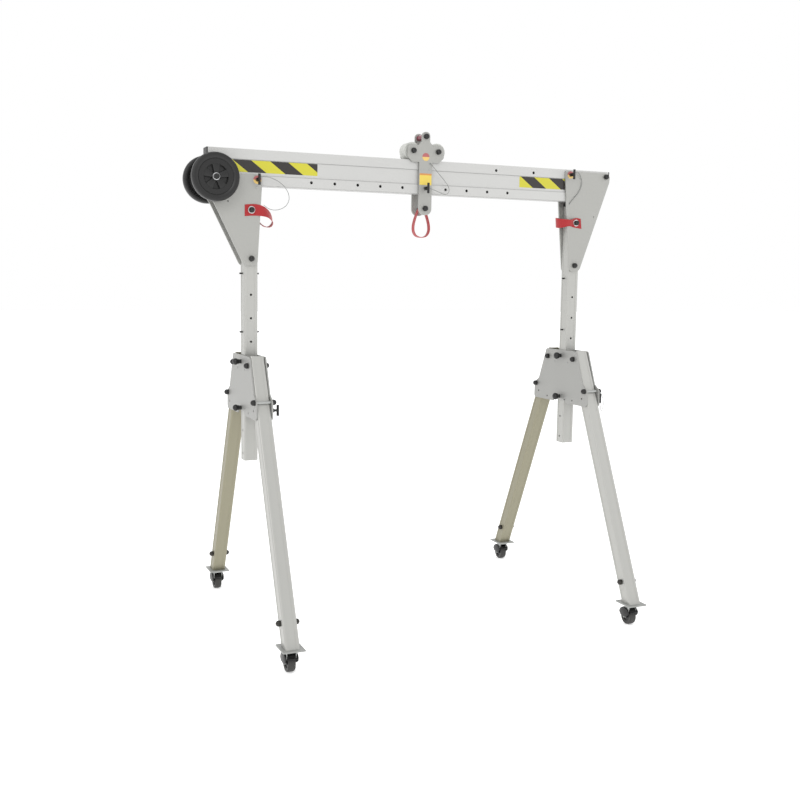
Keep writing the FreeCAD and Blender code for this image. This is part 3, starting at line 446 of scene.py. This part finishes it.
class GANTRY_OT_stage(bpy.types.Operator):
    """Camera, pale floor and soft studio light"""
    bl_idname = "gantry.stage"
    bl_label = "Stage"

    def execute(self, context):
        scene = context.scene
        view = scene.gantry_view
        ahead = Vector((math.sin(view.yaw) * math.cos(view.pitch), math.cos(view.yaw) * math.cos(view.pitch),
                        -math.sin(view.pitch)))
        right = Vector((math.cos(view.yaw), -math.sin(view.yaw), 0))
        up = right.cross(ahead)
        turn_right = right * math.cos(view.roll) + up * math.sin(view.roll)
        turn_up = up * math.cos(view.roll) - right * math.sin(view.roll)
        data = bpy.data.cameras.new("camera")
        data.lens = view.lens
        data.sensor_width = 36
        camera = bpy.data.objects.new("camera", data)
        scene.collection.objects.link(camera)
        camera.matrix_world = Matrix((turn_right, turn_up, -ahead)).transposed().to_4x4()
        camera.matrix_world.translation = Vector(view.place)
        scene.camera = camera
        scene.view_settings.view_transform = "Standard"
        world = scene.world or bpy.data.worlds.new("studio")
        scene.world = world
        world.use_nodes = True
        world.node_tree.nodes.clear()
        sky = add(world.node_tree, "ShaderNodeBackground", {"Color": (1, 1, 1, 1), "Strength": 1.0})
        add(world.node_tree, "ShaderNodeOutputWorld", {"Surface": sky.outputs[0]})
        lamps = (("key", (-3.2, -3.5, 4.2), 55, 2.0), ("fill", (3.5, -2.5, 3.0), 14, 3.0),
                 ("back", (0.5, 3.8, 3.6), 10, 3.0))
        for name, place, energy, size in lamps:
            light = bpy.data.lights.new(name, "AREA")
            light.energy = energy
            light.size = size
            lamp = bpy.data.objects.new(name, light)
            scene.collection.objects.link(lamp)
            lamp.location = place
            lamp.rotation_euler = (Vector((0, 0, 1.0)) - Vector(place)).to_track_quat("-Z", "Y").to_euler()
        shape = bmesh.new()
        bmesh.ops.create_grid(shape, x_segments=1, y_segments=1, size=40)
        data = bpy.data.meshes.new("floor")
        shape.to_mesh(data)
        shape.free()
        floor = bpy.data.objects.new("floor", data)
        scene.collection.objects.link(floor)
        made, _, shader = new_material("white_studio_floor")
        shader.inputs["Base Color"].default_value = (1, 1, 1, 1)
        shader.inputs["Roughness"].default_value = 0.9
        shader.inputs["Emission Color"].default_value = (1, 1, 1, 1)
        shader.inputs["Emission Strength"].default_value = 0.35
        data.materials.append(made)
        return {"FINISHED"}


# ---------------------------------------------------------------- lanyards

LANYARDS = {
    "trolley_lanyard": (("trolley", "trolley_pin"), 0.268, [
        (0.058, -0.046, 2.058), (0.076, -0.049, 2.040), (0.100, -0.050, 2.013), (0.124, -0.050, 1.990),
        (0.145, -0.050, 1.966), (0.155, -0.050, 1.945), (0.148, -0.050, 1.927), (0.130, -0.051, 1.922),
        (0.102, -0.054, 1.931), (0.072, -0.060, 1.940), (0.048, -0.066, 1.946)]),
    "left_gusset_lanyard": (("left_gusset_pin", "left_frame"), 0.312, [
        (-0.732, -0.064, 1.957), (-0.709, -0.060, 1.959), (-0.681, -0.056, 1.955), (-0.650, -0.054, 1.942),
        (-0.623, -0.053, 1.921), (-0.606, -0.053, 1.894), (-0.603, -0.053, 1.867), (-0.615, -0.053, 1.843),
        (-0.639, -0.053, 1.827), (-0.667, -0.051, 1.821), (-0.695, -0.048, 1.826), (-0.714, -0.0455, 1.842)]),
    "right_gusset_lanyard": (("right_gusset_pin", "right_frame"), 0.211, [
        (0.810, -0.064, 2.054), (0.828, -0.057, 2.060), (0.846, -0.048, 2.053), (0.859, -0.043, 2.036),
        (0.866, -0.042, 2.014), (0.862, -0.042, 1.990), (0.849, -0.042, 1.966), (0.829, -0.042, 1.943),
        (0.810, -0.042, 1.924), (0.800, -0.041, 1.909)]),
    "right_leg_lanyard_front": (("right_leg_pin_front", "right_head"), 0.157, [
        (0.910, -0.197, 0.9624), (0.910, -0.199, 0.951), (0.906, -0.208, 0.937), (0.898, -0.224, 0.928),
        (0.891, -0.243, 0.934), (0.888, -0.256, 0.952), (0.887, -0.258, 0.975), (0.887, -0.250, 0.998),
        (0.886, -0.238, 1.014)]),
    "right_leg_lanyard_back": (("right_leg_pin_back", "right_head"), 0.205, [
        (0.910, 0.197, 0.9624), (0.910, 0.202, 0.951), (0.903, 0.222, 0.940), (0.895, 0.243, 0.946),
        (0.890, 0.259, 0.964), (0.888, 0.267, 0.990), (0.887, 0.266, 1.018), (0.886, 0.258, 1.044),
        (0.885, 0.244, 1.062), (0.884, 0.225, 1.064)]),
}


class GANTRY_OT_lanyards(bpy.types.Operator):
    """Thin wires that keep the lock pins"""
    bl_idname = "gantry.lanyards"
    bl_label = "Lanyards"

    def execute(self, context):
        thick = context.scene.gantry_sizes.wire
        for node, (bodies, length, route) in LANYARDS.items():
            curve = bpy.data.curves.new(node + "_line", "CURVE")
            curve.dimensions = "3D"
            curve.resolution_u = 16
            line = curve.splines.new("NURBS")
            line.points.add(len(route) - 1)
            for point, spot in zip(line.points, route):
                point.co = (*spot, 1)
            line.order_u = 3
            line.use_endpoint_u = True
            holder = bpy.data.objects.new(node + "_line", curve)
            context.scene.collection.objects.link(holder)
            context.view_layer.update()
            bare = bpy.data.meshes.new_from_object(holder)
            curve.bevel_depth = thick / 2
            curve.bevel_resolution = 3
            curve.use_fill_caps = True
            context.view_layer.update()
            data = bpy.data.meshes.new_from_object(holder)
            bpy.data.objects.remove(holder)
            bpy.data.meshes.remove(bare)
            shape = bmesh.new()
            shape.from_mesh(data)
            bpy.data.meshes.remove(data)
            wire = finish_mesh(node + "_wire", shape, "wire", bodies[0])
            wire.parent = None
            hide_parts(node)
            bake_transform(wire)
        return {"FINISHED"}


# ---------------------------------------------------------------- frame finishes

class GANTRY_OT_finishes(bpy.types.Operator):
    """Finishes of the parts that keep their own shape"""
    bl_idname = "gantry.finishes"
    bl_label = "Finishes"

    def execute(self, context):
        keys = {"beam": "beam", "beam_end_caps": "black", "trolley_plates": "plate", "trolley_bolts": "black",
                "trolley_top_tube": "maroon", "trolley_roller_left": "roller",
                "trolley_roller_right": "roller", "trolley_pin": "black"}
        for side in SIDES:
            keys.update({f"{side}_gusset_plates": "plate", f"{side}_gusset_bolts": "black",
                         f"{side}_post": "tube", f"{side}_post_fittings": "black",
                         f"{side}_gusset_pin": "black",
                         f"{side}_head_plates": "head", f"{side}_head_blocks": "black",
                         f"{side}_head_bolts": "black", f"{side}_plunger_upper": "black",
                         f"{side}_plunger_lower": "black"})
            for end in ENDS:
                keys.update({f"{side}_leg_{end}": "tube", f"{side}_foot_{end}": "foot",
                             f"{side}_leg_pin_{end}": "black"})
            # The back legs get the shaded copy of the tube finish: painted shade with a warm bounce of light.
            keys[f"{side}_leg_back"] = "tube_painted_shade"
        for node, key in keys.items():
            paint(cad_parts[node], key)
        return {"FINISHED"}


class GANTRY_OT_tapes(bpy.types.Operator):
    """Hazard tape in the recess of both beam sides, at both ends"""
    bl_idname = "gantry.tapes"
    bl_label = "Hazard tapes"

    def execute(self, context):
        high = context.scene.gantry_sizes.tape_height
        colour = context.scene.gantry_colours.tape
        face = BEAM_HIGH.y - RECESS_DEPTH
        spans = {"left": (-0.885, -0.469, 1.892, 0.163, 0.080), "right": (0.530, 0.930, 3.271, 0.154, 0.073)}
        for side, (low, far, start, period, black) in spans.items():
            vinyl = hazard_vinyl(f"hazard_vinyl_{side}", colour, start, period, black)
            for end, way in ENDS.items():
                size = (far - low, TAPE_THICK, high)
                centre = Vector(((low + far) / 2, way * (face + TAPE_THICK / 2), BEAM_MID.z + 5 * MM))
                strip = block(size, centre, 0.15 * MM, 1)
                made = finish_mesh(f"hazard_tape_{side}_{end}", strip, vinyl, "beam")
        return {"FINISHED"}


class GANTRY_OT_stickers(bpy.types.Operator):
    """Two-colour dots, the trolley's plain label and small screws"""
    bl_idname = "gantry.stickers"
    bl_label = "Stickers and screws"

    def execute(self, context):
        spots = {"trolley_dot": (Vector((BEAM_MID.x, -TROLLEY_FACE, BEAM_HIGH.z + 14 * MM)), "trolley"),
                 "left_dot": (Vector((PIN_LEFT.x, -GUSSET_FACE, PIN_LEFT.z)), "left_frame"),
                 "right_dot": (Vector((PIN_RIGHT.x, -GUSSET_FACE, PIN_RIGHT.z)), "right_frame")}
        for name, (spot, body) in spots.items():
            hole = 0 if name == "trolley_dot" else 5.6 * MM
            vinyl = split_by_height(name + "_vinyl", "#A5525A", "#D9B86A", spot.z)
            if hole:
                profile = ring(hole, STICKER_RADIUS, 0, STICKER_THICK, 0.1 * MM)
            else:
                profile = solid_round(STICKER_RADIUS, 0, STICKER_THICK)
            finish_mesh(name, turned(profile, spot, -Y), vinyl, body)
        label = Vector((BEAM_MID.x, -TROLLEY_FACE - 0.15 * MM, BEAM_MID.z - 9.5 * MM))
        vinyl = split_by_height("label_vinyl", "#C4813A", "#DBC24F", label.z + 18 * MM)
        finish_mesh("trolley_label", block((59 * MM, 0.3 * MM, 51 * MM), label, 0.1 * MM, 1), vinyl,
                            "trolley")
        screws = []
        for way in (-1, 1):
            screws.append(("trolley", (BEAM_MID.x + way * 19 * MM, -TROLLEY_FACE, BEAM_MID.z + 33 * MM), -Y))
        screws.append(("trolley", (BEAM_MID.x + 20 * MM, -TROLLEY_FACE, 2.056), -Y))
        screws.append(("left_frame", (POST["left"].x + 23 * MM, -GUSSET_FACE, 1.914), -Y))
        screws.append(("right_frame", (POST["right"].x - 37 * MM, -GUSSET_FACE, 1.9095), -Y))
        for side in SIDES:
            for way in (-1, 1):
                for out, level in ((57, 1.147), (58, 0.980)):
                    for face in (-1, 1):
                        spot = (POST[side].x + face * HEAD_FACE, way * out * MM, level)
                        screws.append((f"{side}_head", spot, X * face))
        for index, (body, spot, axis) in enumerate(screws):
            profile = solid_round(3.6 * MM, 0, 2 * MM, 0.8 * MM)
            made = finish_mesh(f"screw_{index}", turned(profile, Vector(spot), axis, 24), "zinc", body)
        return {"FINISHED"}


class GANTRY_OT_straps(bpy.types.Operator):
    """Red webbing: the two frame straps with their washers, and the trolley's sling"""
    bl_idname = "gantry.straps"
    bl_label = "Straps and sling"

    def execute(self, context):
        routes = {
            "left": [(-29, -40.3, -3, 0, 0, 24), (0, -40.3, 0, 0, 0, 24), (26, -41, 0, 0, 0, 23.5),
                     (50, -43, -4, 3, 6, 21), (74, -38, -14, 6, 14, 15), (92, -26, -31, 7, 20, 8),
                     (100, -12, -50, 4, 23, 2), (92, 4, -66, 0, 24, 1), (74, 18, -66, -2, 24, 3),
                     (54, 32, -48, 2, 21, 9), (36, 42, -24, 4, 12, 19), (20, 42, -8, 0, 3, 23),
                     (0, 40.3, 0, 0, 0, 24), (-28, 40.3, 0, 0, 0, 24)],
            "right": [(-29, -40.3, -3, 3, 0, 24), (-6, -40.3, 0, 2, 0, 24), (14, -42, 0, 0, -3, 21),
                      (34, -47, -1, 0, -7, 15), (54, -43, -2, 0, -5, 17), (68, -32, -3, 2, -2, 20),
                      (80, -14, -3, 4, 0, 22), (82, 8, 0, 3, 0, 23), (72, 27, 3, 0, 2, 22),
                      (52, 40, 2, 0, 1, 23), (28, 41.5, 0, 0, 0, 24), (0, 40.3, 0, 0, 0, 24),
                      (-28, 40.3, 0, 0, 0, 24)]}
        for side, way in SIDES.items():
            centres = [Vector((POST[side].x - way * u * MM, v * MM, STRAP_BOLT + w * MM))
                       for u, v, w, _, _, _ in routes[side]]
            wides = [Vector((-way * u, v, w)) * MM for _, _, _, u, v, w in routes[side]]
            body = f"{side}_frame"
            band = finish_mesh(f"{side}_webbing", ribbon(centres, wides, 2.2 * MM, steps=8), "red", body, 60)
            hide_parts(f"{side}_strap")
            for end, facing in ENDS.items():
                spot = Vector((POST[side].x, facing * (GUSSET_FACE + 3.2 * MM), STRAP_BOLT))
                washer = turned(ring(8 * MM, 15.5 * MM, 0, 1.6 * MM), spot, Y * facing, 48)
                finish_mesh(f"{side}_washer_{end}", washer, "chrome", body)
        top = middle("trolley_bolts").x
        sling_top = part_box("sling")[1][2]
        line = [(0, -1), (-10, -5), (-22, -26), (-33, -55), (-40, -85), (-39, -110), (-28, -129), (-10, -137),
                (10, -137), (28, -129), (39, -110), (40, -85), (33, -55), (22, -26), (10, -5)]
        centres = [Vector((top + u * MM, 0, sling_top - 4 * MM + v * MM)) for u, v in line]
        wides = [Vector((0, 12.5 * MM, 0))] * len(line)
        band = ribbon(centres, wides, 2.8 * MM, closed=True, crown=0.8 * MM)
        loop = finish_mesh("round_sling", band, "red", "sling", 60)
        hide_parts("sling")
        return {"FINISHED"}


class GANTRY_OT_transport_wheels(bpy.types.Operator):
    """Big transport wheels: rubber tyre, five-spoke hub and washer"""
    bl_idname = "gantry.transport_wheels"
    bl_label = "Transport wheels"

    def execute(self, context):
        steps = context.scene.gantry_sizes.tread
        for end, way in ENDS.items():
            node = f"transport_tyre_{end}"
            centre = middle(node)
            body = f"transport_wheel_{end}"
            out = Y * way
            outline = [(74, -15), (80, -18), (90, -19), (96, -17), (99, -12), (100, -5), (100, 5),
                       (99, 12), (96, 17), (90, 19), (80, 18), (74, 15)]
            profile = [(radius * MM, along * MM) for radius, along in outline]
            tyre = finish_mesh(f"transport_tyre_body_{end}", turned(profile, centre, out, steps), "tyre",
                               body, 30)
            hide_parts(node)
            rim = turned(ring(50 * MM, 74.2 * MM, -17 * MM, 17 * MM, 2 * MM), centre, out, steps)
            web = turned(ring(14 * MM, 52 * MM, -4 * MM, 4 * MM, 1 * MM), centre, out, steps)
            boss = turned(ring(6.5 * MM, 19 * MM, -18 * MM, 18 * MM, 2 * MM), centre, out, steps)
            parts = [rim, web, boss]
            for count in range(WHEEL_SPOKES):
                turn = Matrix.Rotation(2 * math.pi * count / WHEEL_SPOKES, 4, "Y")
                spoke = [(-9, 15), (-17, 53), (17, 53), (9, 15)]
                points = [Vector((u * MM, 0, v * MM)) for u, v in spoke]
                shape = prism(points, Y, -16 * MM, 16 * MM, 2.5 * MM)
                bmesh.ops.transform(shape, matrix=Matrix.Translation(centre) @ turn, verts=shape.verts)
                parts.append(shape)
            hub = finish_mesh(f"transport_hub_body_{end}", join(*parts), "black", body)
            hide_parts(f"transport_hub_{end}")
            face = centre + out * 19 * MM
            washer = turned(ring(7 * MM, 15 * MM, 0, 2 * MM), face, out, 48)
            finish_mesh(f"transport_washer_{end}", washer, "chrome", "left_frame")
        return {"FINISHED"}


class GANTRY_OT_casters(bpy.types.Operator):
    """Braked swivel casters"""
    bl_idname = "gantry.casters"
    bl_label = "Casters"

    def execute(self, context):
        for side in SIDES:
            for end in ENDS:
                self.caster(side, end)
        return {"FINISHED"}

    def caster(self, side, end):
        wheel, fork = f"{side}_caster_wheel_{end}", f"{side}_caster_fork_{end}"
        axle = middle(wheel)
        radius = (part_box(wheel)[1][2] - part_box(wheel)[0][2]) / 2
        swivel = Vector((axle.x, axle.y - 15 * MM, 0))
        outline = [(22, -13), (30, -15), (34, -16), (36.5, -13.5), (37.5, -8), (37.5, 8), (36.5, 13.5),
                   (34, 16), (30, 15), (22, 13)]
        profile = [(part * radius / 37.5, along * MM) for part, along in outline]
        tyre = finish_mesh(wheel + "_tyre", turned(profile, axle, X, 64), "caster", wheel, 30)
        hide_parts(wheel)
        hub = join(turned(ring(9 * MM, 22.3 * MM, -10 * MM, 10 * MM, 1.5 * MM), axle, X, 48),
                   turned(ring(4.2 * MM, 10 * MM, -15 * MM, 15 * MM, 1 * MM), axle, X, 32))
        finish_mesh(wheel + "_hub", hub, "black", wheel)
        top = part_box(fork)[1][2]
        crown = join(turned(solid_round(27 * MM, top - 5 * MM, top, 1.5 * MM), swivel, Z, 48),
                     turned(solid_round(22 * MM, top - 12 * MM, top - 5 * MM, 2 * MM), swivel, Z, 48))
        for face in (-1, 1):
            spots = [(-17, top / MM - 10), (14, top / MM - 10), (24, 42), (20, 31), (10, 31), (-12, 62)]
            points = [Vector((axle.x, swivel.y + u * MM, v * MM)) for u, v in spots]
            crown = join(crown, prism(points, X * face, 18 * MM, 21 * MM, 0.8 * MM))
            nut = turned(solid_round(6.5 * MM, 21 * MM, 26 * MM, 1 * MM), axle, X * face, 6)
            crown = join(crown, nut)
        bridge = block((42 * MM, 34 * MM, 4 * MM), Vector((axle.x, swivel.y, top - 11 * MM)), 1.2 * MM)
        body = finish_mesh(fork + "_steel", join(crown, bridge), "zinc", fork)
        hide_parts(fork)
        start = Matrix.Rotation(math.radians(25), 3, "X") @ Y
        hood = turned(ring(39.5 * MM, 43 * MM, -17.5 * MM, 17.5 * MM, 1 * MM), axle, X, 24,
                      math.radians(130), start)
        for face in (-1, 1):
            spots = [(-30, 10), (-34, 24), (-26, 36), (-8, 42), (12, 41), (26, 32), (34, 16), (22, 2),
                     (-10, -2)]
            points = [axle + Vector((0, u * MM * 1.02, v * MM)) for u, v in spots]
            hood = join(hood, prism(points, X * face, 22 * MM, 28.5 * MM, 2.4 * MM))
        pedal = block((36 * MM, 16 * MM, 5 * MM), axle + Vector((0, -33 * MM, 24 * MM)), 2 * MM)
        finish_mesh(fork + "_brake", join(hood, pedal), "black", fork)


class GANTRY_OT_head_details(bpy.types.Operator):
    """Bright sleeves on the stop bolts, and plunger knobs"""
    bl_idname = "gantry.head_details"
    bl_label = "Head details"

    def execute(self, context):
        for side in SIDES:
            stop_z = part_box(f"{side}_head_bolts")[0][2] + 12 * MM
            inner = 30.4 * MM
            for end, way in ENDS.items():
                spot = Vector((POST[side].x, way * STOP_BOLT_OUT, stop_z))
                sleeve = turned(ring(5.9 * MM, 6.35 * MM, -inner, inner, 0.1 * MM), spot, X, 32)
                made = finish_mesh(f"{side}_stop_sleeve_{end}", sleeve, "zinc", f"{side}_head")
            for tag in ("upper", "lower"):
                node = f"{side}_plunger_{tag}"
                level = middle(node).z
                way = 1 if middle(node).x > POST[side].x else -1
                spot = Vector((POST[side].x + way * HEAD_FACE, 0, level))
                outline = [(0, -8), (4, -8), (4, 13), (9, 14), (10.5, 17), (8, 21), (11.5, 24),
                           (12.5, 28), (12, 34), (10, 40), (6, 44.5), (0, 46.5)]
                swell = 1.15 if side == "left" else 1.35
                profile = [(radius * swell * MM, along * 0.8 * MM) for radius, along in outline]
                knob = finish_mesh(node + "_knob", turned(profile, spot, X * way, 40), "black", node)
                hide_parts(node)
        return {"FINISHED"}


STEPS = (GANTRY_OT_stage, GANTRY_OT_lanyards, GANTRY_OT_finishes, GANTRY_OT_tapes, GANTRY_OT_stickers,
         GANTRY_OT_straps, GANTRY_OT_transport_wheels, GANTRY_OT_casters, GANTRY_OT_head_details)


class GANTRY_PT_panel(bpy.types.Panel):
    """Lists the crane's pieces"""
    bl_idname = "GANTRY_PT_panel"
    bl_label = "Portable gantry crane"
    bl_space_type = "VIEW_3D"
    bl_region_type = "UI"
    bl_category = "Gantry"

    def draw(self, context):
        for step in STEPS:
            self.layout.operator(step.bl_idname)


GROUPS = {"gantry_colours": GantryColours, "gantry_sizes": GantrySizes, "gantry_view": GantryView}


def register():
    for made in (*GROUPS.values(), *STEPS, GANTRY_PT_panel):
        bpy.utils.register_class(made)
    for name, made in GROUPS.items():
        setattr(bpy.types.Scene, name, bpy.props.PointerProperty(type=made))


def unregister():
    for name in GROUPS:
        delattr(bpy.types.Scene, name)
    for made in reversed((*GROUPS.values(), *STEPS, GANTRY_PT_panel)):
        bpy.utils.unregister_class(made)


def main():
    register()
    make_materials()
    for step in STEPS:
        group, action = step.bl_idname.split(".")
        getattr(getattr(bpy.ops, group), action)()


if __name__ == "__main__":
    main()
